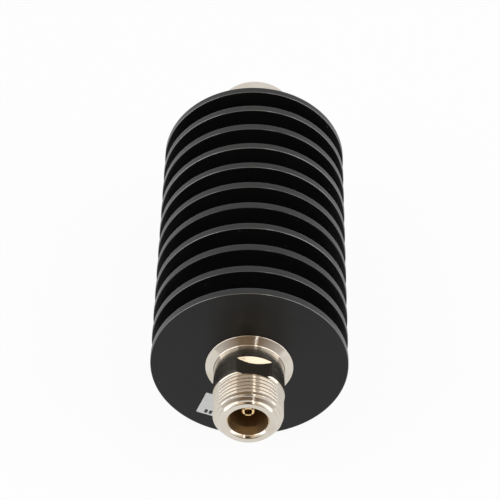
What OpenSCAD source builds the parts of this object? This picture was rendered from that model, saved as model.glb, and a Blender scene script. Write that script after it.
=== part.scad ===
// Fixed coaxial attenuator for high power: a socket at the front, a plug with a coupling nut
// at the rear, and a turned heatsink with disc fins between them. The coaxial axis lies along Y,
// the socket faces -Y, and the fins would rest on their rims. The origin is on the axis, halfway
// along the whole length.

/* [Heatsink] */
// Number of disc fins
fin_count = 11; // [8:1:14]
// Diameter of the fins
fin_diameter = 45; // [40:0.5:60]
// Thickness of each fin
fin_thickness = 1.9; // [1.4:0.1:2.6]
// Distance from one fin to the next
fin_pitch = 7.25; // [6:0.05:9]
// Chamfer along the edges of each rim
fin_edge = 0.15; // [0.05:0.05:0.4]
// Diameter of the core between the fins
core_diameter = 28; // [24:0.5:34]
// Diameter of the bore that holds the carrier
bore_diameter = 15; // [14.5:0.25:17]
// Step on the radius from the bore to the tapped hole at each end
port_step = 0.5; // [0.3:0.1:0.8]
// Depth of the tapped hole beyond the connector's spigot
port_relief = 0.5; // [0.2:0.1:1]

/* [Coaxial line] */
// Inside diameter of the outer conductor
line_outer_diameter = 7; // [6.5:0.1:7.4]
// Diameter of the centre conductor
line_inner_diameter = 3.04; // [2.8:0.02:3.2]
// Step on the radius from the line out to the insulating beads
bead_step = 0.5; // [0.3:0.1:1]
// Length of the insulating beads
bead_length = 5.5; // [4:0.5:6.5]
// Distance from the heatsink's end out to the front of the bead
bead_front = 1.5; // [1:0.25:2.5]
// Diameter of the centre conductor inside the bead
bead_neck_diameter = 2.4; // [2:0.1:2.7]

/* [Connector flanges] */
// Diameter of the flange on the heatsink's end
flange_diameter = 20; // [19.6:0.2:24]
// Thickness of the flange at its rim
rim_thickness = 0.4; // [0.3:0.1:1]
// Rise of the flange's sloping face from the rim up to the neck
flange_rise = 1.05; // [0.5:0.05:1.5]
// Diameter of the neck in front of the flange
neck_diameter = 16.1; // [15.6:0.1:17]
// Length of the spigot screwed into the heatsink
spigot_length = 7.5; // [7:0.5:10]
// Chamfer at the spigot's end
spigot_edge = 0.5; // [0.2:0.1:0.8]

/* [Jack] */
// Length of the neck that stays round
neck_round_length = 3.5; // [1:0.1:5]
// Length of the two spanner flats on the neck
flat_length = 4.4; // [3:0.2:7]
// Distance that the flats run on into the thread
flat_overrun = 0.85; // [0.1:0.05:1.5]
// Distance across the spanner flats
flat_across = 14; // [13:0.5:15]
// Turn of the flats about the axis, clockwise from level
flat_tilt = 10; // [0:1:90]
// Outside diameter of the thread
thread_diameter = 15.75; // [15.6:0.05:15.9]
// Length of the thread
thread_length = 6.95; // [5:0.05:10]
// Length of the bevel at the thread's start
lead_length = 0.4; // [0.3:0.05:1.2]
// Diameter of the plain nose in front of the thread
nose_diameter = 13.1; // [12.6:0.1:14.4]
// Length of the plain nose
nose_length = 1.1; // [0.6:0.05:1.5]
// Chamfer along the nose's front edge
nose_edge = 0.4; // [0.2:0.05:0.5]
// Diameter of the socket
socket_diameter = 8.1; // [7.9:0.05:8.5]
// Depth of the socket
socket_depth = 8.8; // [8:0.1:10]
// Bevel at the socket's mouth
mouth_bevel = 0.55; // [0.3:0.05:0.7]
// Widening of the socket's radius behind the bevel
mouth_flare = 0.35; // [0.1:0.05:0.5]
// Length of the taper from the mouth down to the socket's diameter
mouth_taper_length = 2.3; // [1:0.1:4]
// Distance from the front face back to the contact's tip
contact_recess = 3.5; // [3:0.1:5]
// Diameter of the hole in the contact
contact_hole_diameter = 1.65; // [1.4:0.05:1.8]
// Depth of the hole in the contact
contact_hole_depth = 7; // [6:0.5:9]
// Length of the contact's slots
contact_slot_length = 5; // [3:0.5:6]
// Width of the contact's slots
contact_slot_width = 0.25; // [0.15:0.05:0.4]
// Chamfer on the contact's tip, outside and in the hole
contact_edge = 0.25; // [0.1:0.05:0.3]

/* [Plug] */
// Length of the round shoulder in front of the flange
shoulder_length = 1.75; // [0.5:0.05:2.5]
// Diameter of the barrel that the coupling nut turns on
barrel_diameter = 14; // [13.5:0.1:14.4]
// Length of the barrel in front of the shoulder
barrel_length = 4.8; // [4.2:0.1:6]
// Wall of the sleeve where it is pressed into the barrel
seat_wall = 0.8; // [0.6:0.05:1.1]
// Depth of the seat for the sleeve
seat_depth = 4.5; // [3:0.25:5]
// Step on the radius from the sleeve's seat out to its collar
collar_step = 0.6; // [0.4:0.1:0.9]
// Thickness of the sleeve's collar
collar_thickness = 0.7; // [0.4:0.1:1]
// Wall of the sleeve in front of the collar
sleeve_wall = 0.5; // [0.4:0.05:0.55]
// Length of the sleeve in front of the barrel
sleeve_length = 10.1; // [9.5:0.1:11]
// Length of the sleeve's slots
sleeve_slot_length = 7; // [4:0.5:8]
// Width of the sleeve's slots
sleeve_slot_width = 0.5; // [0.3:0.05:0.8]
// Number of slots round the sleeve
sleeve_slot_count = 4; // [2:2:8]
// Chamfer on the sleeve's tip
sleeve_edge = 0.2; // [0.1:0.05:0.3]
// Diameter of the centre pin
pin_diameter = 1.65; // [1.5:0.05:1.7]
// Distance from the sleeve's end back to the pin's shoulder
pin_shoulder_recess = 5.5; // [5:0.1:6]
// Distance from the sleeve's end out to the pin's tip
pin_reach = 0.6; // [0:0.1:1]
// Length of the pin's tapered tip
pin_taper = 1; // [0.5:0.1:1.5]
// Diameter of the pin's tip
pin_tip_diameter = 0.7; // [0.4:0.1:1]
// Distance from the barrel's edge in to the gasket's edge
gasket_setback = 0.2; // [0.1:0.05:0.6]
// Thickness of the gasket
gasket_thickness = 1.2; // [1:0.1:1.6]

/* [Coupling nut] */
// Wall of the nut outside the relief
nut_wall = 1.65; // [1.4:0.05:2.5]
// Distance from the sleeve's end out to the nut's front
nut_overhang = 1.3; // [1:0.1:2]
// Gap from the shoulder to the nut
nut_gap = 0.8; // [0.4:0.1:1.5]
// Depth of the nut's six flats at their middles
nut_flat_depth = 0.75; // [0.3:0.05:0.9]
// Length of the six flats
nut_flat_length = 8.6; // [6:0.2:11]
// Chamfer on the nut's outer edges
nut_edge = 0.4; // [0.2:0.1:0.8]
// Inside diameter of the nut's thread
nut_thread_diameter = 14.8; // [14.6:0.05:15]
// Depth of the relief behind the thread and of the mouth's bevel
nut_relief_depth = 0.7; // [0.5:0.05:0.9]
// Length of the relief behind the thread
nut_relief_length = 1; // [0.6:0.1:1.5]
// Distance from the barrel's end out to the relief
nut_bearing_overlap = 0.4; // [0.2:0.1:0.8]
// Thickness of the split ring
ring_thickness = 1; // [0.8:0.1:1.2]
// Distance that the split ring stands out of the barrel
ring_proud = 0.5; // [0.3:0.05:0.7]
// Width of the split ring on the radius
ring_width = 1.1; // [0.9:0.05:1.3]
// Gap in the split ring
ring_split = 2; // [1:0.5:4]
// Distance from the shoulder out to the split ring
ring_offset = 2; // [1.6:0.1:2.4]

/* [Carrier and chip] */
// Length of the ceramic chip
chip_length = 30; // [16:1:34]
// Width of the ceramic chip
chip_width = 8; // [6:0.5:8.4]
// Thickness of the ceramic chip
chip_thickness = 1; // [0.6:0.1:1.4]
// Gap on each side of the chip in the carrier's channel
chip_side_gap = 0.5; // [0.2:0.1:0.6]
// Height of the channel above the chip's seat
channel_height = 4.5; // [3:0.25:5]
// Gap between the centre conductors and the chip
chip_end_gap = 0.5; // [0.3:0.1:1]
// Diameter of the dowel pins
dowel_diameter = 1.5; // [1:0.1:1.6]
// Metal left beyond the ends of the dowel pins
dowel_cover = 0.85; // [0.5:0.05:1.5]
// Wall between the channel and the dowel pins
dowel_wall = 0.4; // [0.2:0.1:0.5]
// Distance from the carrier's ends to the dowel pins
dowel_inset = 8; // [4:1:12]
// Width of the lead tabs
tab_width = 2; // [1:0.1:2.4]
// Thickness of the lead tabs
tab_thickness = 0.15; // [0.1:0.05:0.3]
// Overlap of the lead tabs on the conductor and on the chip
tab_lap = 1.8; // [1:0.1:3]

/* [Label] */
// Width of the label
label_width = 12; // [8:0.5:13]
// Height of the label
label_height = 6.7; // [4:0.1:7]
// Thickness of the label
label_thickness = 0.1; // [0.05:0.05:0.2]
// Distance from halfway between flange and rim in to the label's middle
label_shift = 1.25; // [0:0.25:1.5]
// Turn of the label about the axis, clockwise from upright
label_tilt = 21.5; // [0:0.5:90]
// Radius of the label's corners
label_corner = 0.2; // [0.1:0.1:1]

/* [Fits] */
// Gap on the radius of pieces that are pressed, screwed or slid together
fit_gap = 0.03; // [0.01:0.01:0.05]
// Gap on the radius where the coupling nut turns
running_gap = 0.06; // [0.02:0.01:0.1]
// Gap around the split ring inside the nut
ring_gap = 0.15; // [0.1:0.05:0.3]

/* [Hidden] */
$fn = 96;

// Cutting shapes run this far past the faces that they cut
over = 1;

black_anodised = "#303030";
nickel = "#c8c2b8";
gold = "#d9b565";
insulator_white = "#f0eee8";
rubber_red = "#8a4a3c";
copper = "#b87a52";
ceramic_white = "#ebe9e2";
paper = "#d2d2d0";

fin_r = fin_diameter / 2;
core_r = core_diameter / 2;
bore_r = bore_diameter / 2;
port_r = bore_r + port_step;
heatsink_length = (fin_count - 1) * fin_pitch + fin_thickness;
port_depth = spigot_length + port_relief;

line_r = line_outer_diameter / 2;
conductor_r = line_inner_diameter / 2;
bead_r = line_r + bead_step;
bead_neck_r = bead_neck_diameter / 2;
bead_rear = bead_front - bead_length;
flange_r = flange_diameter / 2;
neck_r = neck_diameter / 2;
flange_end = rim_thickness + flange_rise;
spigot_r = port_r - fit_gap;

// Stations along the jack, measured outwards from the heatsink's front face
flat_start = flange_end + neck_round_length;
neck_end = flat_start + flat_length;
thread_r = thread_diameter / 2;
thread_end = neck_end + thread_length;
lead_end = thread_end + lead_length;
nose_r = nose_diameter / 2;
jack_length = lead_end + nose_length;
socket_r = socket_diameter / 2;
mouth_r = socket_r + mouth_flare;
mouth_end = jack_length - mouth_bevel;
socket_floor = jack_length - socket_depth;
contact_tip = jack_length - contact_recess;

// Stations along the plug, measured outwards from the heatsink's rear face
barrel_r = barrel_diameter / 2;
shoulder_end = flange_end + shoulder_length;
barrel_end = shoulder_end + barrel_length;
seat_r = line_r + seat_wall;
seat_floor = barrel_end - seat_depth;
collar_r = seat_r + collar_step;
collar_end = barrel_end + collar_thickness;
sleeve_r = line_r + sleeve_wall;
sleeve_end = barrel_end + sleeve_length;
pin_shoulder = sleeve_end - pin_shoulder_recess;
pin_tip = sleeve_end + pin_reach;
plug_length = sleeve_end + nut_overhang;
nut_start = shoulder_end + nut_gap;
nut_thread_r = nut_thread_diameter / 2;
nut_relief_r = nut_thread_r + nut_relief_depth;
nut_r = nut_relief_r + nut_wall;
bearing_r = barrel_r + running_gap;
bearing_end = barrel_end + nut_bearing_overlap;
relief_end = bearing_end + nut_relief_length;
ring_start = shoulder_end + ring_offset;
ring_end = ring_start + ring_thickness;
ring_outer_r = barrel_r + ring_proud;
ring_inner_r = ring_outer_r - ring_width;
// The barrel's groove is deep enough for the ring to close into it when the nut is pushed on
ring_groove_r = barrel_r - ring_width - ring_gap;

// The carrier fills the bore between the two spigots
carrier_r = bore_r - fit_gap;
carrier_length = heatsink_length - 2 * spigot_length;
chip_start = (heatsink_length - chip_length) / 2;
conductor_depth = chip_start - chip_end_gap;
chip_top = chip_thickness / 2;
channel_width = chip_width + 2 * chip_side_gap;
dowel_x = channel_width / 2 + dowel_wall + dowel_diameter / 2;
dowel_outside = dowel_x + dowel_diameter / 2;
dowel_length = 2 * (sqrt(carrier_r ^ 2 - dowel_outside ^ 2) - chip_top - dowel_cover);

// The whole length is centred on the origin
overall_length = jack_length + heatsink_length + plug_length;
front_face_y = jack_length - overall_length / 2;
rear_face_y = front_face_y + heatsink_length;

// Places a piece on the front face: its Z runs out along the jack and its Y stays up
module at_front() {
    translate([0, front_face_y, 0]) rotate([90, 0, 0]) children();
}

// Places a piece on the rear face: its Z runs out along the plug and its Y stays up
module at_rear() {
    translate([0, rear_face_y, 0]) rotate([90, 0, 180]) children();
}

// Places a piece inside the heatsink: its Z runs from the front face to the rear one
module from_front() {
    translate([0, front_face_y, 0]) rotate([-90, 0, 0]) children();
}

// A turned piece, from its outline as points of radius and station
module turned(outline) {
    rotate_extrude() polygon(outline);
}

// A plain ring between two stations
module ring(inner_r, outer_r, start, end) {
    turned([[inner_r, start], [outer_r, start], [outer_r, end], [inner_r, end]]);
}

// The outline that both connector bodies share, from the bead's seat round to the flange's front
spigot_and_flange = [
    [bead_r, bead_front],
    [bead_r, -spigot_length],
    [spigot_r - spigot_edge, -spigot_length],
    [spigot_r, spigot_edge - spigot_length],
    [spigot_r, 0],
    [flange_r, 0],
    [flange_r, rim_thickness],
    [neck_r, flange_end]
];

// One fin's outline; the roots are left out where the fin ends the heatsink
function fin_outline(index, start) = concat(
    index > 0 ? [[core_r, start]] : [],
    [
        [fin_r - fin_edge, start],
        [fin_r, start + fin_edge],
        [fin_r, start + fin_thickness - fin_edge],
        [fin_r - fin_edge, start + fin_thickness]
    ],
    index < fin_count - 1 ? [[core_r, start + fin_thickness]] : []
);

module heatsink() {
    color(black_anodised) from_front() turned(concat(
        [[bore_r, port_depth], [port_r, port_depth], [port_r, 0]],
        [for (index = [0:fin_count - 1]) each fin_outline(index, index * fin_pitch)],
        [
            [port_r, heatsink_length],
            [port_r, heatsink_length - port_depth],
            [bore_r, heatsink_length - port_depth]
        ]
    ));
}

// The carrier as one rod on the axis, with its line bores, standing on the end of the jack's spigot
module carrier_rod() {
    from_front() difference() {
        translate([0, 0, spigot_length]) cylinder(r = carrier_r, h = carrier_length);
        translate([0, 0, spigot_length - over]) cylinder(r = line_r, h = chip_start - spigot_length + over);
        translate([0, 0, chip_start + chip_length])
            cylinder(r = line_r, h = chip_start - spigot_length + over);
    }
}

// Copies a piece to the four dowel places on the carrier's split
module at_dowels() {
    first = front_face_y + spigot_length + dowel_inset;
    last = rear_face_y - spigot_length - dowel_inset;
    for (x = [-dowel_x, dowel_x], y = [first, last])
        translate([x, y, -chip_top]) children();
}

module dowel(gap) {
    cylinder(d = dowel_diameter + 2 * gap, h = dowel_length + 2 * gap, center = true);
}

// Everything above or below the split, which lies level with the chip's underside
module split_half(side) {
    half = carrier_length + over;
    translate([0, 0, side * half / 2 - chip_top]) cube([half, 2 * half, half], center = true);
}

module carrier_base() {
    color(copper) difference() {
        intersection() {
            carrier_rod();
            split_half(-1);
        }
        at_dowels() dowel(fit_gap);
    }
}

module carrier_cap() {
    color(copper) difference() {
        intersection() {
            carrier_rod();
            split_half(1);
        }
        translate([-channel_width / 2, front_face_y + chip_start, -chip_top - over])
            cube([channel_width, chip_length, channel_height + over]);
        at_dowels() dowel(fit_gap);
    }
}

module dowel_pins() {
    color(nickel) at_dowels() dowel(0);
}

module attenuator_chip() {
    color(ceramic_white) translate([-chip_width / 2, front_face_y + chip_start, -chip_top])
        cube([chip_width, chip_length, chip_thickness]);
}

// A lead that lies on the flat of a centre conductor and on the chip
module lead_tab() {
    color(gold) translate([-tab_width / 2, chip_top, -chip_start - tab_lap])
        cube([tab_width, tab_thickness, 2 * tab_lap + chip_end_gap]);
}

module jack_tab() {
    at_front() lead_tab();
}

module plug_tab() {
    at_rear() lead_tab();
}

module bead() {
    color(insulator_white) ring(bead_neck_r + fit_gap, bead_r - fit_gap, bead_rear, bead_front);
}

module retainer() {
    color(nickel) ring(line_r, bead_r - fit_gap, -spigot_length, bead_rear);
}

// A centre conductor: its inner end is milled flat for the lead, and its neck sits in the bead
module conductor(front_outline) {
    difference() {
        turned(concat(
            [
                [0, -conductor_depth],
                [conductor_r, -conductor_depth],
                [conductor_r, bead_rear],
                [bead_neck_r, bead_rear],
                [bead_neck_r, bead_front],
                [conductor_r, bead_front]
            ],
            front_outline
        ));
        translate([-conductor_r - over, chip_top, -conductor_depth - over])
            cube([2 * (conductor_r + over), conductor_r, tab_lap + 2 * over]);
    }
}

module jack_body() {
    color(nickel) at_front() difference() {
        turned(concat(spigot_and_flange, [
            [neck_r, neck_end],
            [thread_r, neck_end],
            [thread_r, thread_end],
            [nose_r, lead_end],
            [nose_r, jack_length - nose_edge],
            [nose_r - nose_edge, jack_length],
            [mouth_r + mouth_bevel, jack_length],
            [mouth_r, mouth_end],
            [socket_r, mouth_end - mouth_taper_length],
            [socket_r, socket_floor],
            [line_r, socket_floor],
            [line_r, bead_front]
        ]));
        for (turn = [0, 180])
            rotate([0, 0, turn - flat_tilt])
                translate([-neck_r, flat_across / 2, flat_start])
                    cube([2 * neck_r, neck_r, flat_length + flat_overrun]);
    }
}

module jack_bead() {
    at_front() bead();
}

module jack_retainer() {
    at_front() retainer();
}

module jack_contact() {
    hole_r = contact_hole_diameter / 2;
    color(gold) at_front() difference() {
        conductor([
            [conductor_r, contact_tip - contact_edge],
            [conductor_r - contact_edge, contact_tip],
            [hole_r + contact_edge, contact_tip],
            [hole_r, contact_tip - contact_edge],
            [hole_r, contact_tip - contact_hole_depth],
            [0, contact_tip - contact_hole_depth - hole_r]
        ]);
        for (turn = [-45, 45])
            rotate([0, 0, turn])
                translate([-conductor_r - over, -contact_slot_width / 2, contact_tip - contact_slot_length])
                    cube([2 * (conductor_r + over), contact_slot_width, contact_slot_length + over]);
    }
}

module plug_body() {
    color(nickel) at_rear() turned(concat(spigot_and_flange, [
        [neck_r, shoulder_end],
        [barrel_r, shoulder_end],
        [barrel_r, ring_start],
        [ring_groove_r, ring_start],
        [ring_groove_r, ring_end + ring_gap],
        [barrel_r, ring_end + ring_gap],
        [barrel_r, barrel_end],
        [seat_r, barrel_end],
        [seat_r, seat_floor],
        [line_r, seat_floor],
        [line_r, bead_front]
    ]));
}

module plug_outer_contact() {
    color(nickel) at_rear() difference() {
        turned([
            [line_r, seat_floor],
            [seat_r - fit_gap, seat_floor],
            [seat_r - fit_gap, barrel_end],
            [collar_r, barrel_end],
            [collar_r, collar_end],
            [sleeve_r, collar_end],
            [sleeve_r, sleeve_end - sleeve_edge],
            [sleeve_r - sleeve_edge, sleeve_end],
            [line_r, sleeve_end]
        ]);
        for (index = [0:sleeve_slot_count - 1])
            rotate([0, 0, 360 * (index + 0.5) / sleeve_slot_count])
                translate([0, -sleeve_slot_width / 2, sleeve_end - sleeve_slot_length])
                    cube([sleeve_r + over, sleeve_slot_width, sleeve_slot_length + over]);
    }
}

module plug_bead() {
    at_rear() bead();
}

module plug_retainer() {
    at_rear() retainer();
}

module plug_pin() {
    color(gold) at_rear() conductor([
        [conductor_r, pin_shoulder],
        [pin_diameter / 2, pin_shoulder],
        [pin_diameter / 2, pin_tip - pin_taper],
        [pin_tip_diameter / 2, pin_tip],
        [0, pin_tip]
    ]);
}

module coupling_nut() {
    color(nickel) at_rear() difference() {
        turned([
            [bearing_r, nut_start],
            [nut_r - nut_edge, nut_start],
            [nut_r, nut_start + nut_edge],
            [nut_r, plug_length - nut_edge],
            [nut_r - nut_edge, plug_length],
            [nut_relief_r, plug_length],
            [nut_thread_r, plug_length - (nut_relief_r - nut_thread_r)],
            [nut_thread_r, relief_end],
            [nut_relief_r, relief_end],
            [nut_relief_r, bearing_end],
            [bearing_r, bearing_end],
            [bearing_r, ring_end + ring_gap],
            [ring_outer_r + ring_gap, ring_end + ring_gap],
            [ring_outer_r + ring_gap, ring_start - ring_gap],
            [bearing_r, ring_start - ring_gap]
        ]);
        for (index = [0:5])
            rotate([0, 0, 60 * index])
                translate([-nut_r, nut_r - nut_flat_depth, nut_start - over])
                    cube([2 * nut_r, nut_r, nut_flat_length + over]);
    }
}

module nut_ring() {
    color(nickel) at_rear() difference() {
        ring(ring_inner_r, ring_outer_r, ring_start, ring_end);
        translate([-ring_split / 2, 0, ring_start - over])
            cube([ring_split, ring_outer_r + over, ring_thickness + 2 * over]);
    }
}

module plug_gasket() {
    color(rubber_red) at_rear()
        ring(collar_r + fit_gap, barrel_r - gasket_setback, barrel_end, barrel_end + gasket_thickness);
}

module label() {
    flat_width = label_width - 2 * label_corner;
    flat_height = label_height - 2 * label_corner;
    label_offset = (flange_r + fin_r) / 2 - label_shift;
    color(paper) at_front() rotate([0, 0, -label_tilt]) translate([0, -label_offset, 0])
        linear_extrude(label_thickness) {
            square([flat_width, label_height], center = true);
            square([label_width, flat_height], center = true);
            for (x = [-flat_width / 2, flat_width / 2], y = [-flat_height / 2, flat_height / 2])
                translate([x, y]) circle(r = label_corner);
        }
}

heatsink();
carrier_base();
carrier_cap();
dowel_pins();
attenuator_chip();
jack_tab();
plug_tab();
jack_body();
jack_bead();
jack_retainer();
jack_contact();
plug_body();
plug_outer_contact();
plug_bead();
plug_retainer();
plug_pin();
coupling_nut();
nut_ring();
plug_gasket();
label();
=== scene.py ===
import bmesh
import bpy
import numpy as np
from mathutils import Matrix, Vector


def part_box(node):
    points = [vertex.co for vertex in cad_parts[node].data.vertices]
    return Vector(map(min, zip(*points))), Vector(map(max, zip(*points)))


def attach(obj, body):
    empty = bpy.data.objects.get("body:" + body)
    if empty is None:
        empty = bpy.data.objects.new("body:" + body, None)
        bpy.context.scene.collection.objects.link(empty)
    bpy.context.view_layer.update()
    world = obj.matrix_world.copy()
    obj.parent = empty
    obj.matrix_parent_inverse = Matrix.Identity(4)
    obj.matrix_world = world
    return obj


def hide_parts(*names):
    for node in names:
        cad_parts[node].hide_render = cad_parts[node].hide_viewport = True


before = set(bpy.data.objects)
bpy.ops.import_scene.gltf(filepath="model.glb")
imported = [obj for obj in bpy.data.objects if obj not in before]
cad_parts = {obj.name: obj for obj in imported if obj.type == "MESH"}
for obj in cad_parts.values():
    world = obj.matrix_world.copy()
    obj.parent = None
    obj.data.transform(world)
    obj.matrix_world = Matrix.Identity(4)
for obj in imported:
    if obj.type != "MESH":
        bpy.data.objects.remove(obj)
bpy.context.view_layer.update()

# Heatsink: one aluminium bar, turned down between eleven thin disc fins, bored through for the
# attenuator and tapped at both ends, then anodised black. All the other pieces screw or slide
# into it, and it lies on the rims of its fins.
MM = 0.001
front_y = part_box("heatsink")[0].y
rear_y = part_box("heatsink")[1].y
fin_count = 11
fin_radius = 22.5 * MM
fin_thickness = 1.9 * MM
fin_pitch = 7.25 * MM
core_radius = 14 * MM
bore_radius = 7.5 * MM
port_radius = 8 * MM
port_depth = 8 * MM
rim_ease = 0.2 * MM
root_ease = 0.5 * MM
fin_steps = 168
dye_black = (0.004, 0.004, 0.0042, 1)
dye_index = 1.36
rim_index = 1.45
dye_smooth = 0.28
dye_rough = 0.4
handled_rough = 0.06
worn_edge_grey = (0.34, 0.34, 0.33, 1)
worn_edge_start = 0.45
worn_edge_rough = 0.15
dust_grey = (0.16, 0.155, 0.15, 1)
fin_mark_spacing = 0.3 * MM
fin_mark_height = 0.006 * MM
fin_patch_size = 11 * MM
speck_spacing = 2.6 * MM
speck_size = 0.035
speck_share = 0.22


def eased(corners, ease, points=5):
    """Rounds an outline. Each corner becomes a quadratic curve that leaves its two sides at the distance
    ease from the corner, with one more row on each side so that the flats stay flat. A corner with no ease
    stays as one row. Returns rows of radius, place along the axis and edge weight, where the weight is 1
    at the middle of a corner."""
    corners = np.asarray(corners, float)
    before = np.roll(corners, 1, axis=0) - corners
    after = np.roll(corners, -1, axis=0) - corners
    before_length = np.linalg.norm(before, axis=1)
    after_length = np.linalg.norm(after, axis=1)
    most_of_side = 0.36
    reach = np.minimum(ease, most_of_side * np.minimum(before_length, after_length))
    start = (before * (reach / before_length)[:, None])[:, None]
    end = (after * (reach / after_length)[:, None])[:, None]
    share = np.linspace(0, 1, points)[None, :, None]
    support = 1.3
    curve = (1 - share) ** 2 * start + share ** 2 * end
    curve = np.concatenate([support * start, curve, support * end], axis=1) + corners[:, None]
    weight = np.concatenate([[0], (4 * share * (1 - share)).ravel(), [0]])
    weight = weight[None, :, None] * (reach > 0)[:, None, None]
    rows = np.concatenate([curve, weight], axis=2).reshape(-1, 3)
    same_place = 1e-9
    apart = np.linalg.norm(rows - np.roll(rows, 1, axis=0), axis=1)
    return rows[apart > same_place]


def even_angles(steps):
    """Angles at equal steps round the axis, from the X axis towards the Z axis."""
    return np.arange(steps) * 2 * np.pi / steps


def turned(outline, angles, press=None, closed=True):
    """A surface of revolution: each outline row is carried round the Y axis to every angle, so x is its
    radius times the cosine and z its radius times the sine. press(radius, along, angle) may change the
    radii, for flats and threads. Returns places, arrays of faces, and edge weights."""
    rows, turns = len(outline), len(angles)
    radius, along, angle = np.broadcast_arrays(outline[:, :1], outline[:, 1:2], angles[None])
    if press is not None:
        radius = press(radius, along, angle)
    places = np.stack([radius * np.cos(angle), along, radius * np.sin(angle)], axis=-1)
    row, turn = np.meshgrid(np.arange(rows if closed else rows - 1), np.arange(turns), indexing="ij")
    this_row = row * turns
    next_row = (row + 1) % rows * turns
    next_turn = (turn + 1) % turns
    faces = np.stack([this_row + turn, next_row + turn, next_row + next_turn, this_row + next_turn], axis=-1)
    return places.reshape(-1, 3), [faces.reshape(-1, 4)], np.repeat(outline[:, 2], turns)


def make_piece(name, patches, body, material, sharp=np.radians(26)):
    """Joins patches of places, faces and edge weights into one mesh object, with poles closed and faces
    turned outwards. Edges that turn by more than the sharp angle stay crisp. The piece rides on its body
    and takes the place of the CAD node that has its name."""
    faces = []
    first = 0
    for places, polygons, _ in patches:
        for polygon in polygons:
            faces += (polygon + first).tolist()
        first += len(places)
    mesh = bpy.data.meshes.new(name)
    mesh.from_pydata(np.concatenate([patch[0] for patch in patches]).tolist(), [], faces)
    wear = mesh.attributes.new("edge_wear", "FLOAT", "POINT")
    wear.data.foreach_set("value", np.concatenate([patch[2] for patch in patches]).astype(np.float32))
    same_place = 1e-7
    work = bmesh.new()
    work.from_mesh(mesh)
    bmesh.ops.remove_doubles(work, verts=work.verts, dist=same_place)
    bmesh.ops.recalc_face_normals(work, faces=work.faces)
    work.to_mesh(mesh)
    work.free()
    mesh.shade_smooth()
    mesh.set_sharp_from_angle(angle=sharp)
    mesh.materials.append(material)
    piece = bpy.data.objects.new(name + "_dressed", mesh)
    bpy.context.scene.collection.objects.link(piece)
    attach(piece, body)
    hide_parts(name)


def add_node(tree, kind, inputs=None, **settings):
    """Adds a node with its settings. An input is named by its socket, and is a value or the socket that
    feeds it. Returns the node's outputs."""
    node = tree.nodes.new(kind)
    for key, value in settings.items():
        setattr(node, key, value)
    for key, value in (inputs or {}).items():
        if isinstance(value, bpy.types.NodeSocket):
            tree.links.new(value, node.inputs[key])
        else:
            node.inputs[key].default_value = value
    return node.outputs


def add_math(tree, operation, first, second=0.0):
    """A math node on two values or sockets."""
    return add_node(tree, "ShaderNodeMath", {0: first, 1: second}, operation=operation)[0]


def add_range(tree, value, low, high, new_low, new_high):
    """Carries a value from one range to another, held at its ends."""
    ends = {"Value": value, "From Min": low, "From Max": high, "To Min": new_low, "To Max": new_high}
    return add_node(tree, "ShaderNodeMapRange", ends)["Result"]


def add_spread(tree, noise, low, high):
    """Spreads the usual range of a noise value from low to high."""
    usual_low, usual_high = 0.3, 0.7
    return add_range(tree, noise, usual_low, usual_high, low, high)


def add_near(tree, value, middle, reach):
    """1 where a value is within reach of the middle, and 0 elsewhere."""
    return add_node(tree, "ShaderNodeMath", {0: value, 1: middle, 2: reach}, operation="COMPARE")[0]


def add_mix(tree, factor, first, second):
    """Mixes two colours by a factor."""
    first_colour, second_colour, mixed = 6, 7, 2
    sockets = {0: factor, first_colour: first, second_colour: second}
    return add_node(tree, "ShaderNodeMix", sockets, data_type="RGBA")[mixed]


def add_noise(tree, at, scale, detail=2.0):
    """A noise texture's grey value at the given places."""
    return add_node(tree, "ShaderNodeTexNoise", {"Vector": at, "Scale": scale, "Detail": detail})["Fac"]


def add_bump(tree, height, distance):
    """A normal that follows a height, in metres at a height of 1."""
    return add_node(tree, "ShaderNodeBump", {"Height": height, "Distance": distance})["Normal"]


def add_scaled(tree, vector, size):
    """A vector over a size, so that a texture read there has features of about that size."""
    finer = add_math(tree, "DIVIDE", 1.0, size)
    return add_node(tree, "ShaderNodeVectorMath", {0: vector, "Scale": finer}, operation="SCALE")[0]


def add_radius(tree, split):
    """The distance from the coaxial axis of a place that is split into X, Y and Z."""
    across = add_node(tree, "ShaderNodeCombineXYZ", {"X": split["X"], "Z": split["Z"]})[0]
    return add_node(tree, "ShaderNodeVectorMath", {0: across}, operation="LENGTH")["Value"]


def start_group(name, **inputs):
    """An empty shader node group with number inputs and one number output, Mask. Returns the group, its
    inputs, its Object coordinates and the socket that its result goes to."""
    group = bpy.data.node_groups.new(name, "ShaderNodeTree")
    for socket, value in inputs.items():
        made = group.interface.new_socket(socket, in_out="INPUT", socket_type="NodeSocketFloat")
        made.default_value = value
    group.interface.new_socket("Mask", in_out="OUTPUT", socket_type="NodeSocketFloat")
    at = add_node(group, "ShaderNodeTexCoord")["Object"]
    return group, add_node(group, "NodeGroupInput"), at, group.nodes.new("NodeGroupOutput").inputs["Mask"]


def place_group(tree, group, **inputs):
    """Places a node group in a tree with its own values. Returns its Mask."""
    return add_node(tree, "ShaderNodeGroup", inputs, node_tree=group)["Mask"]


def start_material(name, **plain):
    """A new node material with its plain values set on the shader's own sockets. Returns the material, its
    node tree and a function that links a socket to the shader."""
    material = bpy.data.materials.new(name)
    material.use_nodes = True
    tree = material.node_tree
    shader = tree.nodes["Principled BSDF"].inputs
    for key, value in plain.items():
        shader[key.replace("_", " ")].default_value = value
    return material, tree, lambda socket, key: tree.links.new(socket, shader[key])


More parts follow.
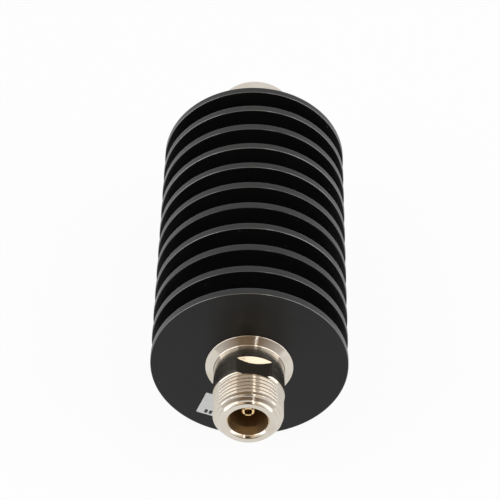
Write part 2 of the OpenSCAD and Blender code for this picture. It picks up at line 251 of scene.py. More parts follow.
# The lathe tool's marks: noise over the radius and the place along the axis, which draws rings on
# faces and lines round cylinders. A slow drift keeps a line from closing on itself.
drift_scale = 90.0
turning_marks, given, at, result = start_group("turning_marks", Spacing=0.25 * MM, Wander=1.0)
split = add_node(turning_marks, "ShaderNodeSeparateXYZ", {0: at})
radius = add_radius(turning_marks, split)
lathe = add_node(turning_marks, "ShaderNodeCombineXYZ", {"X": radius, "Y": split["Y"]})[0]
lathe = add_scaled(turning_marks, lathe, given["Spacing"])
drift = add_math(turning_marks, "MULTIPLY", add_noise(turning_marks, at, drift_scale), given["Wander"])
drift = add_node(turning_marks, "ShaderNodeCombineXYZ", {"Z": drift})[0]
lathe = add_node(turning_marks, "ShaderNodeVectorMath", {0: lathe, 1: drift}, operation="ADD")[0]
turning_marks.links.new(add_noise(turning_marks, lathe, 1.0, detail=3.0), result)

# Hands and cloths leave soft patches where a finish is a little duller.
patch_start = 0.42
patch_full = 0.68
handling, given, at, result = start_group("handling", Size=8 * MM)
cloud = add_noise(handling, add_scaled(handling, at, given["Size"]), 1.0, detail=4.0)
handling.links.new(add_range(handling, cloud, patch_start, patch_full, 0.0, 1.0), result)

# Dust: one small speck in some of the cells of a space filled with points.
dust, given, at, result = start_group("dust", Spacing=2 * MM, Size=0.06, Share=0.3)
place = add_scaled(dust, at, given["Spacing"])
cells = add_node(dust, "ShaderNodeTexVoronoi", {"Vector": place, "Scale": 1.0})
picked = add_node(dust, "ShaderNodeSeparateColor", {0: cells["Color"]})[0]
picked = add_math(dust, "LESS_THAN", picked, given["Share"])
near = add_math(dust, "LESS_THAN", cells["Distance"], given["Size"])
dust.links.new(add_math(dust, "MULTIPLY", picked, near), result)

# The black finish: the dye is thin and bare on the sharp edges, where it shows the metal, and a little
# brighter on the rims, which hands and benches rub.
black_anodised, tree, feed = start_material("black_anodised")
edge = add_node(tree, "ShaderNodeAttribute", attribute_name="edge_wear")["Fac"]
edge = add_range(tree, edge, worn_edge_start, 1.0, 0.0, 1.0)
marks = place_group(tree, turning_marks, Spacing=fin_mark_spacing, Wander=0.5)
patches = place_group(tree, handling, Size=fin_patch_size)
specks = place_group(tree, dust, Spacing=speck_spacing, Size=speck_size, Share=speck_share)
worn = add_math(tree, "MULTIPLY", edge, add_range(tree, marks, 0.35, 0.6, 0.2, 1.0))
colour = add_mix(tree, worn, dye_black, worn_edge_grey)
feed(add_mix(tree, specks, colour, dust_grey), "Base Color")
feed(edge, "Metallic")
split = add_node(tree, "ShaderNodeSeparateXYZ", {0: add_node(tree, "ShaderNodeTexCoord")["Object"]})
on_rim = add_math(tree, "GREATER_THAN", add_radius(tree, split), fin_radius - rim_ease / 2)
feed(add_range(tree, on_rim, 0.0, 1.0, dye_index, rim_index), "IOR")
sheen = add_spread(tree, marks, dye_smooth, dye_rough)
sheen = add_math(tree, "ADD", sheen, add_math(tree, "MULTIPLY", patches, handled_rough))
feed(add_range(tree, edge, 0.0, 1.0, sheen, worn_edge_rough), "Roughness")
feed(add_bump(tree, marks, fin_mark_height), "Normal")

fin_starts = front_y + np.arange(fin_count) * fin_pitch
fin_places = (fin_starts[:, None] + [0, 0, fin_thickness, fin_thickness]).ravel()
fin_radii = np.tile([core_radius, fin_radius, fin_radius, core_radius], fin_count)
fin_corners = np.column_stack([fin_radii, fin_places])[1:-1]
fin_ease = np.tile([root_ease, rim_ease, rim_ease, root_ease], fin_count)[1:-1]
ports = [
    (port_radius, rear_y),
    (port_radius, rear_y - port_depth),
    (bore_radius, rear_y - port_depth),
    (bore_radius, front_y + port_depth),
    (port_radius, front_y + port_depth),
    (port_radius, front_y),
]
heatsink_corners = np.concatenate([fin_corners, ports])
heatsink_ease = np.concatenate([fin_ease, [rim_ease] * len(ports)])
heatsink = turned(eased(heatsink_corners, heatsink_ease), even_angles(fin_steps))
make_piece("heatsink", [heatsink], "attenuator", black_anodised)

# Carrier: a copper rod split lengthwise, turned to slide into the heatsink's bore and milled for the
# chip. Four ground steel pins line its two halves up. All of it is hidden once the ends are screwed in.
copper_bright = (0.72, 0.38, 0.22, 1)
copper_dull = (0.5, 0.25, 0.15, 1)
steel_bright = (0.56, 0.55, 0.53, 1)
steel_dull = (0.4, 0.39, 0.37, 1)
metal_patch_size = 5 * MM
metal_patch_rough = 0.05
metal_mark_height = 0.0015 * MM


def dress(material, *names):
    """Gives CAD nodes a material in their own slot."""
    for name in names:
        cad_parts[name].material_slots[0].material = material


def metal_finish(name, bright, dull, spacing, smooth, rough):
    """A turned metal: lathe marks in the gloss and the relief, and duller patches in the colour."""
    material, tree, feed = start_material(name, Metallic=1.0)
    marks = place_group(tree, turning_marks, Spacing=spacing, Wander=0.4)
    patches = place_group(tree, handling, Size=metal_patch_size)
    feed(add_mix(tree, patches, bright, dull), "Base Color")
    gloss = add_spread(tree, marks, smooth, rough)
    feed(add_math(tree, "ADD", gloss, add_math(tree, "MULTIPLY", patches, metal_patch_rough)), "Roughness")
    feed(add_bump(tree, marks, metal_mark_height), "Normal")
    return material


copper = metal_finish("copper", copper_bright, copper_dull, spacing=0.3 * MM, smooth=0.25, rough=0.4)
spring_steel = metal_finish(
    "spring_steel", steel_bright, steel_dull, spacing=0.15 * MM, smooth=0.18, rough=0.3
)
dress(copper, "carrier_base", "carrier_cap")
dress(spring_steel, "dowel_pins")

# Chip and leads: a slip of fired ceramic with a resistor film, soldered into the carrier, and two thin
# gold-plated tabs that join it to the centre contacts.
ceramic_white = (0.8, 0.79, 0.74, 1)
film_grey = (0.12, 0.11, 0.1, 1)
film_half_width = 2.6 * MM
grain_scale = 4000.0
gold_bright = (0.96, 0.77, 0.46, 1)
gold_dull = (0.88, 0.66, 0.36, 1)

ceramic, tree, feed = start_material("ceramic")
at = add_node(tree, "ShaderNodeTexCoord")["Object"]
side = add_math(tree, "ABSOLUTE", add_node(tree, "ShaderNodeSeparateXYZ", {0: at})["X"])
film = add_math(tree, "LESS_THAN", side, film_half_width)
grain = add_noise(tree, at, grain_scale)
feed(add_mix(tree, film, ceramic_white, film_grey), "Base Color")
feed(add_spread(tree, grain, 0.45, 0.65), "Roughness")
gold_plate = metal_finish("gold_plate", gold_bright, gold_dull, spacing=0.12 * MM, smooth=0.14, rough=0.26)
dress(ceramic, "attenuator_chip")
dress(gold_plate, "jack_tab", "plug_tab")

# Jack body: one brass piece, turned, threaded, milled with two spanner flats and nickel plated. Its
# spigot screws into the heatsink until the flange is tight on the front fin.
jack_nickel = (0.68, 0.63, 0.555, 1)
jack_nickel_dull = (0.62, 0.56, 0.48, 1)
# Painted shade: a darker brown that stands in for the dim, warm light bounced round inside the socket's bore.
socket_painted_shade = (0.62, 0.47, 0.29, 1)
turned_smooth = 0.1
turned_rough = 0.2
turned_stretch = 0.85
turned_mark_spacing = 0.16 * MM
turned_ring_spacing = 0.5 * MM
turned_mark_share = 0.15
turned_ring_height = 0.01 * MM
flat_rough = 0.05
socket_rough = 0.4
bead_radius = 4 * MM
bead_front = 1.5 * MM
line_radius = 3.5 * MM
spigot_radius = 7.97 * MM
spigot_length = 7.5 * MM
spigot_edge = 0.5 * MM
flange_radius = 10 * MM
rim_thickness = 0.4 * MM
flange_end = 1.45 * MM
neck_radius = 8.05 * MM
flange_fillet = 0.25 * MM
neck_end = 9.35 * MM
flat_start = 4.95 * MM
flat_end = 10.2 * MM
flat_half = 7 * MM
flat_turn = np.radians(80)
thread_radius = 7.875 * MM
thread_end = 15.75 * MM
thread_pitch = 25.4 / 24 * MM
thread_start = 0.72
thread_depth = 0.6 * MM
thread_run_in = 0.6 * MM
thread_rows = 240
land_start = 16.3 * MM
land_end = 16.55 * MM
land_radius = 7.25 * MM
lead_end = 16.95 * MM
nose_radius = 6.55 * MM
nose_edge = 0.4 * MM
jack_length = 17.8 * MM
socket_radius = 4.05 * MM
socket_floor = 9 * MM
mouth_radius = 4.4 * MM
mouth_bevel = 0.55 * MM
mouth_taper = 2.3 * MM
mouth_ease = 0.2 * MM
jack_steps = 216
edge_ease = 0.12 * MM
hair = 0.001 * MM
flat_reach = 10 * hair
least_cosine = 0.1

spigot_and_flange = [
    (bead_radius, bead_front),
    (bead_radius, -spigot_length),
    (spigot_radius - spigot_edge, -spigot_length),
    (spigot_radius, spigot_edge - spigot_length),
    (spigot_radius, 0),
    (flange_radius, 0),
    (flange_radius, rim_thickness),
    (neck_radius, flange_end),
]


def out_from(rows, side, end):
    """Turns rows of radius, station and edge weight into rows along the axis. Stations run out from an end
    of the heatsink: side is -1 at the jack's end and 1 at the plug's."""
    return rows * (1, side, 1) + (0, end, 0)


def thread_share(along, angle):
    """How deep a right-hand thread is cut, from 0 at a crest to 1 at a root: a triangle wave of the place
    along the axis less the turn, with its tips cut flat, and averaged over a short way to round it."""
    crest, root = 0.18, 0.1
    round_half, round_steps = 0.045, 7
    round_way = np.linspace(-round_half, round_half, round_steps)
    turns = -along / thread_pitch - angle / (2 * np.pi) - thread_start
    phase = (turns[..., None] + round_way) % 1
    return np.clip((np.abs(2 * phase - 1) - crest) / (1 - crest - root), 0, 1).mean(axis=-1)


def jack_press(radius, along, angle):
    """Mills the neck and cuts the thread: a flat caps the radius at its distance over the cosine, and the
    thread takes its depth off, but never stands above the bevels and the short land at its start."""
    station = front_y - along
    outside = radius > nose_radius - hair
    flat = flat_half / np.maximum(np.abs(np.cos(angle - flat_turn)), least_cosine)
    milled = outside & (station > flat_start + hair / 2) & (station < flat_end - hair / 2)
    radius = np.where(milled, np.minimum(radius, flat), radius)
    run_in = np.clip((station - neck_end) / thread_run_in, 0, 1)
    cut = thread_radius - thread_depth * run_in * thread_share(along, angle)
    return np.where(outside & (station > neck_end + hair), np.minimum(radius, cut), radius)


nickel_plate, tree, feed = start_material("nickel_plate", Metallic=1.0, Anisotropic_Rotation=0.25)
marks = place_group(tree, turning_marks, Spacing=turned_mark_spacing, Wander=0.4)
patches = place_group(tree, handling, Size=metal_patch_size)
at = add_node(tree, "ShaderNodeTexCoord")["Object"]
split = add_node(tree, "ShaderNodeSeparateXYZ", {0: at})
flat_way = (np.cos(flat_turn), 0, np.sin(flat_turn))
height = add_node(tree, "ShaderNodeVectorMath", {0: at, 1: flat_way}, operation="DOT_PRODUCT")["Value"]
on_flat = add_near(tree, add_math(tree, "ABSOLUTE", height), flat_half, flat_reach)
flat_middle = front_y - (flat_start + flat_end) / 2
along_flat = add_near(tree, split["Y"], flat_middle, (flat_end - flat_start) / 2)
on_flat = add_math(tree, "MULTIPLY", on_flat, along_flat)
on_step = add_near(tree, split["Y"], front_y - flat_start, flat_reach)
on_flat = add_math(tree, "MAXIMUM", on_flat, on_step)
in_socket = add_math(tree, "LESS_THAN", add_radius(tree, split), mouth_radius)
in_socket = add_math(tree, "MULTIPLY", in_socket, add_math(tree, "LESS_THAN", split["Y"], front_y))
colour = add_mix(tree, patches, jack_nickel, jack_nickel_dull)
# Inside the socket the nickel colour gives way to the painted-shade brown.
feed(add_mix(tree, in_socket, colour, socket_painted_shade), "Base Color")
gloss = add_spread(tree, marks, turned_smooth, turned_rough)
gloss = add_range(tree, on_flat, 0.0, 1.0, gloss, flat_rough)
feed(add_range(tree, in_socket, 0.0, 1.0, gloss, socket_rough), "Roughness")
not_turned = add_math(tree, "MAXIMUM", on_flat, in_socket)
feed(add_range(tree, not_turned, 0.0, 1.0, turned_stretch, 0.0), "Anisotropic")
minus_x = add_math(tree, "MULTIPLY", split["X"], -1.0)
round_axis = add_node(tree, "ShaderNodeCombineXYZ", {"X": split["Z"], "Z": minus_x})[0]
to_world = {"vector_type": "VECTOR", "convert_from": "OBJECT", "convert_to": "WORLD"}
feed(add_node(tree, "ShaderNodeVectorTransform", {0: round_axis}, **to_world)[0], "Tangent")
rings = place_group(tree, turning_marks, Spacing=turned_ring_spacing, Wander=0.4)
relief = add_math(tree, "ADD", rings, add_math(tree, "MULTIPLY", marks, turned_mark_share))
feed(add_bump(tree, relief, turned_ring_height), "Normal")

flat_edges = np.arccos(flat_half / np.array([neck_radius, thread_radius]))
flat_edges = (flat_turn + np.concatenate([flat_edges, -flat_edges])[:, None] + [0, np.pi]).ravel()
jack_angles = np.sort(np.concatenate([even_angles(jack_steps), flat_edges % (2 * np.pi)]))
jack_back = spigot_and_flange + [(neck_radius, flat_start)]
back_ease = np.array([0] + [edge_ease] * (len(jack_back) - 3) + [flange_fillet, 0])
jack_back = eased(jack_back, back_ease, 9)
neck_rows = np.array([(neck_radius, flat_start + hair, 0), (neck_radius, neck_end, 0)])
thread_stations = np.linspace(neck_end + 2 * hair, lead_end, thread_rows)
lead_stations = [thread_end, land_start, land_end, lead_end]
thread_stations = np.append(thread_stations, [flat_end - hair, flat_end] + lead_stations[:-1])
thread_stations = np.sort(thread_stations)
lead_radii = [thread_radius, land_radius, land_radius, nose_radius]
thread_limit = np.interp(thread_stations, lead_stations, lead_radii)
jack_front = eased([
    (nose_radius, lead_end + edge_ease),
    (nose_radius, jack_length - nose_edge),
    (nose_radius - nose_edge, jack_length),
    (mouth_radius + mouth_bevel, jack_length),
    (mouth_radius, jack_length - mouth_bevel),
    (socket_radius, jack_length - mouth_bevel - mouth_taper),
    (socket_radius, socket_floor),
    (line_radius, socket_floor),
    (line_radius, bead_front),
], np.array([0, edge_ease, edge_ease, mouth_ease, mouth_ease, mouth_ease, edge_ease, edge_ease, 0]))
jack_outline = np.concatenate([
    jack_back,
    neck_rows,
    np.column_stack([thread_limit, thread_stations, 0 * thread_stations]),
    jack_front,
])
jack_body = turned(out_from(jack_outline, -1, front_y), jack_angles, jack_press)
make_piece("jack_body", [jack_body], "attenuator", nickel_plate)

# Jack bead and retainer: a white insulating bead carries the contact on the axis, and a plain nickel
# ring pressed in behind it keeps it against its shoulder.
bead_white = (0.86, 0.85, 0.81, 1)
bead_shade = (0.74, 0.72, 0.67, 1)
cloud_scale = 600.0
bead_mark_spacing = 0.3 * MM
bead_mark_height = 0.004 * MM

insulator, tree, feed = start_material("white_insulator", Subsurface_Weight=0.1)
at = add_node(tree, "ShaderNodeTexCoord")["Object"]
marks = place_group(tree, turning_marks, Spacing=bead_mark_spacing, Wander=0.6)
feed(add_mix(tree, add_noise(tree, at, cloud_scale), bead_white, bead_shade), "Base Color")
feed(add_spread(tree, marks, 0.35, 0.5), "Roughness")
feed(add_bump(tree, marks, bead_mark_height), "Normal")
dress(insulator, "jack_bead")
dress(nickel_plate, "jack_retainer")

# Jack contact: a gold-plated pin of spring bronze on the axis. Its front is drilled and sawn into four
# tines that grip the mating pin, and its inner end has a flat for the lead.
conductor_radius = 1.52 * MM
conductor_depth = 21.7 * MM
bead_rear = -4 * MM
bead_neck_radius = 1.2 * MM
lead_flat_height = 0.5 * MM
lead_flat_end = -18.9 * MM
contact_tip = 14.3 * MM
contact_hole_radius = 0.825 * MM
contact_hole_floor = 7.3 * MM
contact_slot_start = 9.3 * MM
contact_slot_width = 0.25 * MM
contact_steps = 64
contact_tine_steps = 14
tine_count = 4
first_slot = np.pi / 4
contact_edge = 0.25 * MM
contact_ease = 0.15 * MM
fine_ease = 0.06 * MM
tine_lap = 0.05 * MM


def conductor_corners(*front_corners):
    """The corners of a centre conductor as radius and station, from its inner end on the axis, by its neck
    in the bead, to the given front corners."""
    return np.array([
        (0, -conductor_depth),
        (conductor_radius, -conductor_depth),
        (conductor_radius, lead_flat_end),
        (conductor_radius, lead_flat_end + hair),
        (conductor_radius, bead_rear),
        (bead_neck_radius, bead_rear),
        (bead_neck_radius, bead_front),
        (conductor_radius, bead_front),
        *front_corners,
    ])


def conductor(front_corners, side, end):
    """A turned conductor with both ends closed on the axis. The flat for the lead caps the radius at its
    height over the sine, near the inner end. The ends on the axis and the flat's step have no rounding."""
    corners = conductor_corners(*front_corners)
    ease = np.full(len(corners), fine_ease)
    inner_end, step_rows, front_end = 0, (2, 3), -1
    ease[[inner_end, *step_rows, front_end]] = 0

    def press(radius, along, angle):
        station = (along - end) * side
        flat = lead_flat_height / np.maximum(np.sin(angle), least_cosine)
        return np.where(station < lead_flat_end + hair / 2, np.minimum(radius, flat), radius)

    return turned(out_from(eased(corners, ease), side, end), even_angles(contact_steps), press, closed=False)


def slotted(outline, first_slot, slot_count, slot_width, steps):
    """The tines between saw slots: the outline is carried round from one slot to the next. A slot's wall is
    half the slot's width from the plane through the axis, so its angle is the arcsine of that half over
    the radius. One face closes each wall."""
    rows = len(outline)
    span = 2 * np.pi / slot_count
    slot = first_slot + np.arange(slot_count)[:, None, None] * span
    inset = np.arcsin(slot_width / 2 / outline[:, 0])[None, :, None]
    angle = slot + inset + (span - 2 * inset) * np.linspace(0, 1, steps)[None, None]
    radius, along, weight = np.broadcast_arrays(*outline.T[:, None, :, None], angle)[:3]
    places = np.stack([radius * np.cos(angle), along, radius * np.sin(angle)], axis=-1)
    tine, row, step = np.meshgrid(np.arange(slot_count), np.arange(rows), np.arange(steps - 1), indexing="ij")
    here = (tine * rows + row) * steps + step
    there = (tine * rows + (row + 1) % rows) * steps + step
    round_faces = np.stack([here, there, there + 1, here + 1], axis=-1).reshape(-1, 4)
    wall = (np.arange(slot_count)[:, None] * rows + np.arange(rows)) * steps
    return places.reshape(-1, 3), [round_faces, wall, wall + steps - 1], weight.ravel()


contact_body = conductor([
    (conductor_radius, contact_slot_start),
    (contact_hole_radius, contact_slot_start),
    (contact_hole_radius, contact_hole_floor),
    (0, contact_hole_floor - contact_hole_radius),
], -1, front_y)
contact_tines = eased([
    (conductor_radius, contact_slot_start - tine_lap),
    (conductor_radius, contact_tip - contact_edge),
    (conductor_radius - contact_edge, contact_tip),
    (contact_hole_radius, contact_tip),
    (contact_hole_radius, contact_slot_start - tine_lap),
], [fine_ease, contact_ease, contact_ease, contact_ease, fine_ease])
contact_tines = out_from(contact_tines, -1, front_y)
contact_tines = slotted(contact_tines, first_slot, tine_count, contact_slot_width, contact_tine_steps)
make_piece("jack_contact", [contact_body, contact_tines], "attenuator", gold_plate)

# Plug body: nickel-plated brass like the jack's, turned in one piece and screwed into the rear of the
# heatsink. The coupling nut runs on its barrel, and the barrel's groove takes the nut's ring.
shoulder_end = 3.2 * MM
barrel_radius = 7 * MM
barrel_end = 8 * MM
groove_radius = 5.75 * MM
groove_start = 5.2 * MM
groove_end = 6.35 * MM
seat_radius = 4.3 * MM
seat_floor = 3.5 * MM
plug_steps = 120

plug_corners = np.array(spigot_and_flange + [
    (neck_radius, shoulder_end),
    (barrel_radius, shoulder_end),
    (barrel_radius, groove_start),
    (groove_radius, groove_start),
    (groove_radius, groove_end),
    (barrel_radius, groove_end),
    (barrel_radius, barrel_end),
    (seat_radius, barrel_end),
    (seat_radius, seat_floor),
    (line_radius, seat_floor),
    (line_radius, bead_front),
])
plug_body = turned(out_from(eased(plug_corners, edge_ease), 1, rear_y), even_angles(plug_steps))
make_piece("plug_body", [plug_body], "attenuator", nickel_plate)

# Plug sleeve: the outer contact, a thin nickel-plated bronze tube with a collar. It is pressed into the
# barrel, and its front is sawn into four tines that spring against the mating socket.
sleeve_fit_radius = 4.27 * MM
collar_radius = 4.9 * MM
collar_end = 8.7 * MM
sleeve_radius = 4 * MM
sleeve_end = 18.1 * MM
sleeve_slot_start = 11.1 * MM
sleeve_slot_width = 0.5 * MM
sleeve_tine_steps = 30

sleeve_ring = eased([
    (line_radius, seat_floor),
    (sleeve_fit_radius, seat_floor),
    (sleeve_fit_radius, barrel_end),
    (collar_radius, barrel_end),
    (collar_radius, collar_end),
    (sleeve_radius, collar_end),
    (sleeve_radius, sleeve_slot_start),
    (line_radius, sleeve_slot_start),
], fine_ease)
sleeve_tines = eased([
    (sleeve_radius, sleeve_slot_start - 2 * tine_lap),
    (sleeve_radius, sleeve_end),
    (line_radius, sleeve_end),
    (line_radius, sleeve_slot_start - 2 * tine_lap),
], [fine_ease, contact_ease, fine_ease, fine_ease])
sleeve_ring = turned(out_from(sleeve_ring, 1, rear_y), even_angles(plug_steps))
sleeve_tines = out_from(sleeve_tines, 1, rear_y)
sleeve_tines = slotted(sleeve_tines, first_slot, tine_count, sleeve_slot_width, sleeve_tine_steps)
make_piece("plug_outer_contact", [sleeve_ring, sleeve_tines], "attenuator", nickel_plate)

# Plug bead, retainer and pin: as in the jack, but the gold-plated conductor steps down to a plain pin
# with a tapered tip.
pin_shoulder = 12.6 * MM
pin_radius = 0.825 * MM
pin_taper_start = 17.7 * MM
pin_tip_radius = 0.35 * MM
pin_tip = 18.7 * MM

plug_pin = conductor([
    (conductor_radius, pin_shoulder),
    (pin_radius, pin_shoulder),
    (pin_radius, pin_taper_start),
    (pin_tip_radius, pin_tip),
    (0, pin_tip),
], 1, rear_y)
make_piece("plug_pin", [plug_pin], "attenuator", gold_plate)
dress(insulator, "plug_bead")
dress(nickel_plate, "plug_retainer")

# Gasket: a soft silicone ring that lies on the end of the barrel round the sleeve's collar. The mating
# socket's nose presses on it.
gasket_inner_radius = 4.93 * MM
gasket_outer_radius = 6.8 * MM
gasket_end = 9.2 * MM
gasket_ease = 0.3 * MM
silicone_red = (0.3, 0.075, 0.05, 1)
silicone_pale = (0.38, 0.12, 0.085, 1)
bloom_scale = 900.0
bloom_height = 0.02 * MM

silicone, tree, feed = start_material("silicone_rubber")
at = add_node(tree, "ShaderNodeTexCoord")["Object"]
bloom = add_noise(tree, at, bloom_scale, detail=4.0)
feed(add_mix(tree, add_range(tree, bloom, 0.4, 0.7, 0.0, 1.0), silicone_red, silicone_pale), "Base Color")
feed(add_spread(tree, bloom, 0.5, 0.7), "Roughness")
feed(add_bump(tree, bloom, bloom_height), "Normal")

gasket = eased([
    (gasket_inner_radius, barrel_end),
    (gasket_outer_radius, barrel_end),
    (gasket_outer_radius, gasket_end),
    (gasket_inner_radius, gasket_end),
], gasket_ease)
gasket = turned(out_from(gasket, 1, rear_y), even_angles(plug_steps))
make_piece("plug_gasket", [gasket], "attenuator", silicone)

# Coupling nut: turned and threaded inside, with six flats milled on its rear half, nickel plated. A
# split ring of spring steel in the barrel's groove holds it on, and it turns freely there.
bearing_radius = 7.06 * MM
nut_start = 4 * MM
nut_end = 19.4 * MM
nut_radius = 9.75 * MM
nut_flats = 6
nut_flat_span = 2 * np.pi / nut_flats
nut_flat_half = 9 * MM
nut_flat_end = 12.6 * MM
nut_edge = 0.4 * MM
nut_thread_radius = 7.4 * MM
nut_thread_depth = 0.55 * MM
nut_relief_radius = 8.1 * MM
nut_relief_start = 8.4 * MM
nut_thread_start = 9.4 * MM
nut_mouth = 18.7 * MM
nut_lip = 0.2 * MM
nut_ring_radius = 7.65 * MM
nut_ring_start = 5.05 * MM
nut_ring_end = 6.35 * MM
nut_thread_rows = 260
nut_steps = 180
nut_sharp = np.radians(21)


def nut_press(radius, along, angle):
    """Mills the six flats and cuts the inside thread: outside, a flat caps the radius at its distance over
    the cosine of the turn from its middle. Inside, the thread takes its depth out of the bore."""
    station = along - rear_y
    outside = radius > nut_relief_radius + nut_edge
    flat = nut_flat_half / np.cos(angle % nut_flat_span - nut_flat_span / 2)
    radius = np.where(outside & (station < nut_flat_end - hair / 2), np.minimum(radius, flat), radius)
    threaded = ~outside & (station > nut_thread_start + hair) & (station < nut_end - hair)
    cut = nut_thread_radius + nut_thread_depth * thread_share(along, angle)
    return np.where(threaded, np.maximum(radius, cut), radius)


nut_outside = eased([
    (bearing_radius, nut_start),
    (nut_radius, nut_start),
    (nut_radius, nut_end),
    (nut_relief_radius, nut_end),
], [edge_ease, nut_edge, nut_edge, edge_ease]).reshape(4, -1, 3)
nut_step = np.array([(nut_radius, nut_flat_end - hair, 0), (nut_radius, nut_flat_end, 0)])
nut_inside = eased([
    (nut_relief_radius, nut_thread_start),
    (nut_relief_radius, nut_relief_start),
    (bearing_radius, nut_relief_start),
    (bearing_radius, nut_ring_end),
    (nut_ring_radius, nut_ring_end),
    (nut_ring_radius, nut_ring_start),
    (bearing_radius, nut_ring_start),
], [0] + [fine_ease] * 6)
nut_thread_stations = np.linspace(nut_end - nut_lip, nut_thread_start + 2 * hair, nut_thread_rows)
nut_bore = nut_thread_radius + np.maximum(nut_thread_stations - nut_mouth, 0)
nut_outline = np.concatenate([
    nut_outside[:2].reshape(-1, 3),
    nut_step,
    nut_outside[2:].reshape(-1, 3),
    np.column_stack([nut_bore, nut_thread_stations, np.zeros(nut_thread_rows)]),
    nut_inside,
])
nut_flat_edge = np.arccos(nut_flat_half / nut_radius)
nut_flat_middles = (np.arange(nut_flats) + 0.5) * nut_flat_span
nut_flat_edges = nut_flat_middles + np.array([[-nut_flat_edge], [nut_flat_edge]])
nut_angles = np.sort(np.concatenate([even_angles(nut_steps), nut_flat_edges.ravel() % (2 * np.pi)]))
coupling_nut = turned(out_from(nut_outline, 1, rear_y), nut_angles, nut_press)
make_piece("coupling_nut", [coupling_nut], "nut", nickel_plate, nut_sharp)
dress(spring_steel, "nut_ring")

# Label: a small pale sticker on the front fin, partly behind the jack. It has no words, only a row of
# plain dark bars along its lower edge where a label of this kind is printed.
paper_pale = (0.76, 0.765, 0.76, 1)
paper_shade = (0.68, 0.685, 0.68, 1)
print_dark = (0.03, 0.03, 0.032, 1)
label_turn = np.radians(21.5)
label_distance = 15 * MM
bar_start = -4.3 * MM
bar_end = 4.3 * MM
bar_pitch = 1.1 * MM
bar_share = 0.68
bar_low = -2.9 * MM
bar_high = -1.75 * MM
fibre_scale = 2500.0
fibre_height = 0.004 * MM

paper, tree, feed = start_material("paper_label")
at = add_node(tree, "ShaderNodeTexCoord")["Object"]
label_place = (-label_distance * np.sin(label_turn), front_y, -label_distance * np.cos(label_turn))
inside = {"Vector": at, "Location": label_place, "Rotation": (0, label_turn, 0)}
on_label = add_node(tree, "ShaderNodeMapping", inside, vector_type="TEXTURE")[0]
on_label = add_node(tree, "ShaderNodeSeparateXYZ", {0: on_label})
along_row = add_math(tree, "SUBTRACT", on_label["X"], bar_start)
in_pitch = add_math(tree, "FRACT", add_math(tree, "DIVIDE", along_row, bar_pitch))
bars = add_math(tree, "LESS_THAN", in_pitch, bar_share)
in_row = add_near(tree, on_label["X"], (bar_start + bar_end) / 2, (bar_end - bar_start) / 2)
in_line = add_near(tree, on_label["Z"], (bar_low + bar_high) / 2, (bar_high - bar_low) / 2)
bars = add_math(tree, "MULTIPLY", bars, add_math(tree, "MULTIPLY", in_row, in_line))
fibre = add_noise(tree, at, fibre_scale, detail=4.0)
paper_colour = add_mix(tree, add_range(tree, fibre, 0.35, 0.7, 0.0, 1.0), paper_pale, paper_shade)
feed(add_mix(tree, bars, paper_colour, print_dark), "Base Color")
feed(add_spread(tree, fibre, 0.5, 0.65), "Roughness")
feed(add_bump(tree, fibre, fibre_height), "Normal")
dress(paper, "label")

# Stage: a wide white table top in a white light tent. Both show plain white to the camera and in the
# metal, and the table keeps the soft shadow of the fins. The tent is open at the front, so the metal
# mirrors the dim room beyond it there, warmer higher up, with the dark camera in it.
floor_half = 3.0
floor_front = 0.12
floor_white = (0.86, 0.86, 0.86, 1)
floor_rough = 0.8
plain_white = (1, 1, 1, 1)
floor_shown = 0.93
room_light = 0.55
room_shown = 0.974
opening_brown = (0.2, 0.14, 0.09, 1)
opening_warm = (0.8, 0.62, 0.42, 1)
warm_low = np.radians(20)
warm_high = np.radians(34)
camera_dark = (0.03, 0.02, 0.014, 1)
camera_near = np.radians(7)
camera_far = np.radians(18)
camera_azimuth = np.radians(0.914)
camera_elevation = np.radians(41.831)
opening_half_width = np.radians(35)
opening_edge = np.radians(22)
opening_top = np.radians(84)
opening_soft = np.radians(10)

floor_mesh = bpy.data.meshes.new("floor")
floor_places = np.array([
    (-floor_half, -floor_front, -fin_radius),
    (floor_half, -floor_front, -fin_radius),
    (floor_half, floor_half, -fin_radius),
    (-floor_half, floor_half, -fin_radius),
])
floor_mesh.from_pydata(floor_places.tolist(), [], [(0, 1, 2, 3)])
floor = bpy.data.objects.new("floor", floor_mesh)
bpy.context.scene.collection.objects.link(floor)


def shown_directly(tree):
    """1 for the rays that show a surface as it is: from the camera, and in reflections and glass."""
    path = add_node(tree, "ShaderNodeLightPath")
    mirrored = add_math(tree, "MAXIMUM", path["Is Glossy Ray"], path["Is Transmission Ray"])
    return add_math(tree, "MAXIMUM", path["Is Camera Ray"], mirrored)


table_top, tree, feed = start_material("table_top", Base_Color=floor_white, Roughness=floor_rough)
glow = add_node(tree, "ShaderNodeEmission", {"Color": plain_white, "Strength": 1.0})[0]
shown = add_math(tree, "MULTIPLY", shown_directly(tree), floor_shown)
lit = tree.nodes["Principled BSDF"].outputs[0]
both = add_node(tree, "ShaderNodeMixShader", {0: shown, 1: lit, 2: glow})[0]
tree.links.new(both, tree.nodes["Material Output"].inputs["Surface"])
floor_mesh.materials.append(table_top)

world = bpy.data.worlds.new("white_room")
bpy.context.scene.world = world
world.use_nodes = True
tree = world.node_tree
heading = add_node(tree, "ShaderNodeTexCoord")["Generated"]
way = add_node(tree, "ShaderNodeSeparateXYZ", {0: heading})
to_front = add_math(tree, "MULTIPLY", way["Y"], -1.0)
sideways = add_math(tree, "ARCSINE", add_math(tree, "ABSOLUTE", way["X"]))
rise = add_math(tree, "ARCTAN2", way["Z"], to_front)
inner, outer = opening_half_width - opening_edge, opening_half_width + opening_edge
between = add_range(tree, sideways, inner, outer, 1.0, 0.0)
below = add_range(tree, rise, opening_top - opening_soft, opening_top + opening_soft, 1.0, 0.0)
mirrored = add_node(tree, "ShaderNodeLightPath")["Is Glossy Ray"]
opening = add_math(tree, "MULTIPLY", mirrored, add_math(tree, "MULTIPLY", between, below))
warm = add_range(tree, rise, warm_low, warm_high, 0.0, 1.0)
beyond = add_mix(tree, warm, opening_brown, opening_warm)
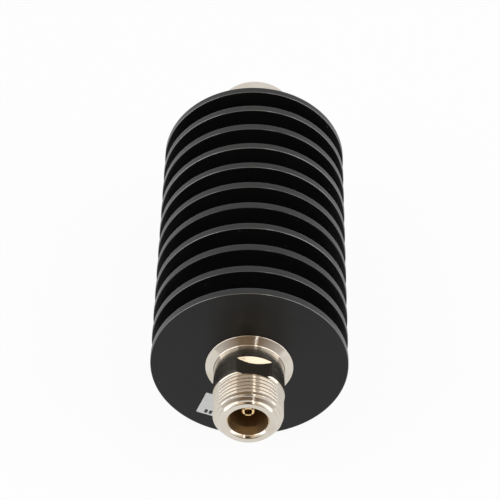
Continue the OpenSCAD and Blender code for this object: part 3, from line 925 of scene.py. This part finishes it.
back = np.array([
    np.sin(camera_azimuth) * np.cos(camera_elevation),
    -np.cos(camera_azimuth) * np.cos(camera_elevation),
    np.sin(camera_elevation),
])
towards = add_node(tree, "ShaderNodeVectorMath", {0: heading, 1: back}, operation="DOT_PRODUCT")["Value"]
by_camera = add_range(tree, add_math(tree, "ARCCOSINE", towards), camera_near, camera_far, 1.0, 0.0)
beyond = add_mix(tree, by_camera, beyond, camera_dark)
strength = add_range(tree, shown_directly(tree), 0.0, 1.0, room_light, room_shown)
room = tree.nodes["Background"].inputs
tree.links.new(add_mix(tree, opening, plain_white, beyond), room["Color"])
tree.links.new(strength, room["Strength"])

# Lamps: a large soft box on each side, a tube overhead on the right, and a narrow lamp low in front, which
# draws the bright line along the turned nickel.
box_place = np.array([0.61, -0.12, 0.3])
box_width = 0.7
box_height = 0.8
box_radiance = 1.5
tube_place = (0.163, -0.26, 0.47)
tube_turn = np.radians(3.5)
tube_width = 0.06
tube_length = 0.92
tube_radiance = 2.05
spot_place = (0.18, -1.209, 0.23)
spot_width = 0.04
spot_height = 0.19
spot_radiance = 2.4


def add_lamp(name, place, turn, width, height, radiance):
    """A rectangular lamp that the camera does not see, with its power set from its radiance."""
    lamp = bpy.data.lights.new(name, "AREA")
    lamp.shape = "RECTANGLE"
    lamp.size = width
    lamp.size_y = height
    lamp.energy = radiance * np.pi * width * height
    holder = bpy.data.objects.new(name, lamp)
    holder.location = place
    holder.rotation_euler = turn
    holder.visible_camera = False
    bpy.context.scene.collection.objects.link(holder)


for name, side in (("left_box", -1), ("right_box", 1)):
    place = Vector(box_place * (side, 1, 1))
    inwards = (-place).to_track_quat("-Z", "Y").to_euler()
    add_lamp(name, place, inwards, box_width, box_height, box_radiance)
add_lamp("overhead_tube", tube_place, (0, 0, tube_turn), tube_width, tube_length, tube_radiance)
at_jack = Vector((0, front_y, 0)) - Vector(spot_place)
at_jack = at_jack.to_track_quat("-Z", "Y").to_euler()
add_lamp("front_lamp", spot_place, at_jack, spot_width, spot_height, spot_radiance)

# Camera: a long lens that looks down on the jack's end, as in the photograph. Its place was fitted to
# the rims of the fins.
camera_distance = 493.06 * MM
camera_target = np.array([0, 2.0, 0]) * MM
camera_slide = -0.484 * MM
camera_lift = -0.338 * MM
focal_pixels = 2044.43
image_pixels = 500
sensor_width = 36
nearest_shown = 10 * MM

right = np.array([np.cos(camera_azimuth), np.sin(camera_azimuth), 0])
up = np.cross(back, right)
place = camera_target + camera_distance * back + camera_slide * right + camera_lift * up
lens = bpy.data.cameras.new("camera")
lens.sensor_width = sensor_width
lens.lens = focal_pixels * sensor_width / image_pixels
lens.clip_start = nearest_shown
camera = bpy.data.objects.new("camera", lens)
camera.matrix_world = np.vstack([np.column_stack([right, up, back, place]), [0, 0, 0, 1]]).T.tolist()
bpy.context.scene.collection.objects.link(camera)
bpy.context.scene.camera = camera
bpy.context.scene.view_settings.view_transform = "Standard"
